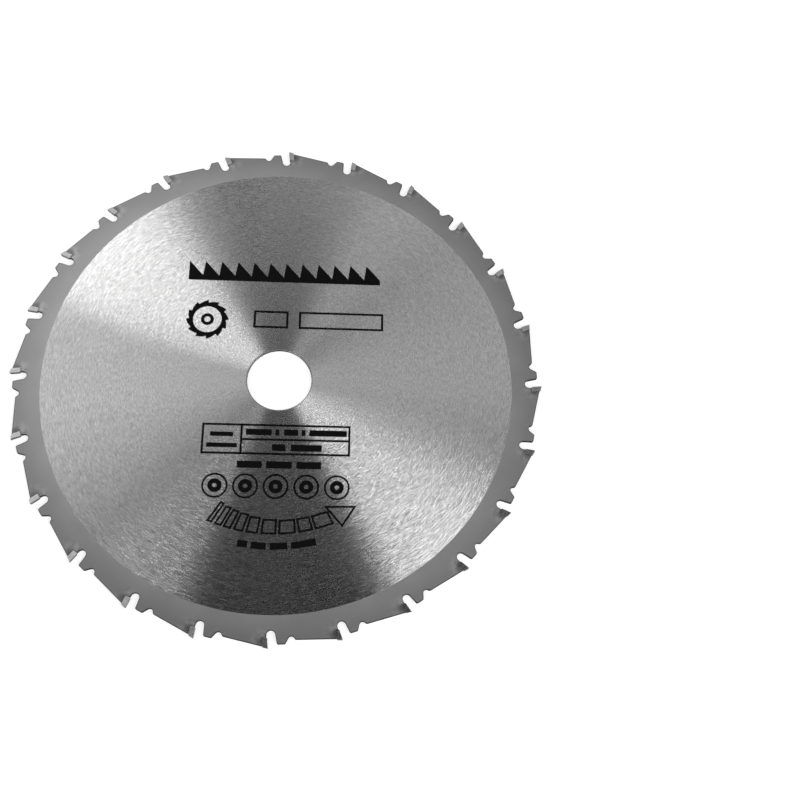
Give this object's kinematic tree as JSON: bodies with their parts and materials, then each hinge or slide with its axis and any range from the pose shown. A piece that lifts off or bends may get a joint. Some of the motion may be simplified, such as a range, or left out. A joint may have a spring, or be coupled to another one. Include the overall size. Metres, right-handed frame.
{
  "type": "circular saw blade",
  "caption": "Thin round steel saw blade with a plain arbor bore, brazed carbide tips at its rim, U-shaped gullets and chip limiters; cuts wood and mixed materials.",
  "frame": {"origin": "centre of the arbor bore at the plate's mid-plane", "axes": "+Z along the bore's axis, out of the printed face; +X through a cutting corner; seen from +Z the blade cuts anticlockwise"},
  "size_m": [0.21, 0.21, 0.0018],
  "materials": {
    "plate_steel": "circular ground disc with a matte rim",
    "carbide": "ground carbide",
    "braze": "silver braze filler",
    "print_ink": "screen-printed ink"
  },
  "bodies": {
    "root": {"blade_plate": "plate_steel", "braze_seams": "braze", "carbide_tip_01": "carbide", "carbide_tip_02": "carbide", "carbide_tip_03": "carbide", "carbide_tip_04": "carbide", "carbide_tip_05": "carbide", "carbide_tip_06": "carbide", "carbide_tip_07": "carbide", "carbide_tip_08": "carbide", "carbide_tip_09": "carbide", "carbide_tip_10": "carbide", "carbide_tip_11": "carbide", "carbide_tip_12": "carbide", "carbide_tip_13": "carbide", "carbide_tip_14": "carbide", "carbide_tip_15": "carbide", "carbide_tip_16": "carbide", "carbide_tip_17": "carbide", "carbide_tip_18": "carbide", "carbide_tip_19": "carbide", "carbide_tip_20": "carbide", "carbide_tip_21": "carbide", "carbide_tip_22": "carbide", "carbide_tip_23": "carbide", "carbide_tip_24": "carbide"}
  },
  "joints": []
}
